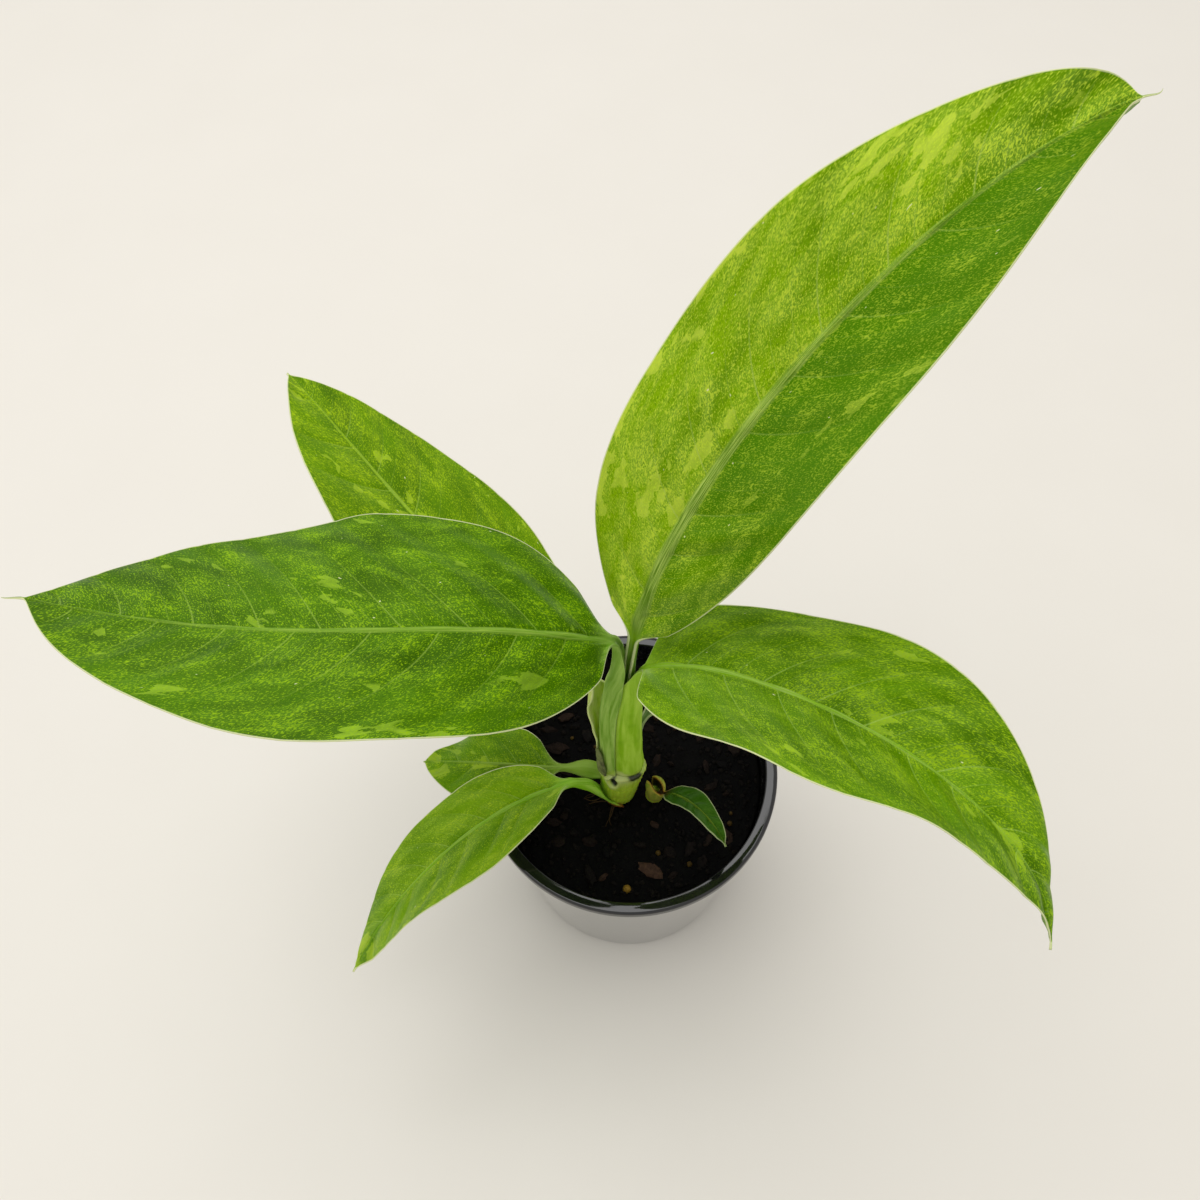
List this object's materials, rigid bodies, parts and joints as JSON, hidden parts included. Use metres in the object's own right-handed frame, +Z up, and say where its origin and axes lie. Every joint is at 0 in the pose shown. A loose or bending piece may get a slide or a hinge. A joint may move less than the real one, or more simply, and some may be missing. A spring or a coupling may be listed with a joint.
{
  "type": "potted dieffenbachia",
  "caption": "Young dieffenbachia with broad mottled green leaves on sheathed stalks and a small offshoot, in bark mix in a thin round black nursery pot.",
  "frame": {"origin": "middle of the pot's underside, on the surface that the pot stands on", "axes": "+Z up. -Y towards the side that the plant is seen from in the picture, and +X to its right, where the tallest leaf leans"},
  "size_m": [0.252, 0.1725, 0.325],
  "materials": {
    "pot_plastic": "thin moulded black polypropylene with a soft gloss",
    "potting_mix": "moist near-black composted bark and peat, rough",
    "green_stem": "smooth fleshy light green stem, satin",
    "dry_sheath": "withered papery leaf sheath, matt",
    "leaf_tissue": "supple green leaf with lighter yellow-green patches and flecks, waxy sheen"
  },
  "bodies": {
    "root": {"pot": "pot_plastic", "soil": "potting_mix", "cane": "green_stem", "offshoot_stem": "green_stem", "dry_sheath": "dry_sheath", "leaf_upright": "leaf_tissue", "leaf_left": "leaf_tissue", "leaf_right": "leaf_tissue", "leaf_rear": "leaf_tissue", "leaf_low_front": "leaf_tissue", "leaf_low_rear": "leaf_tissue", "leaf_behind": "leaf_tissue", "offshoot_leaf": "leaf_tissue"}
  },
  "joints": []
}
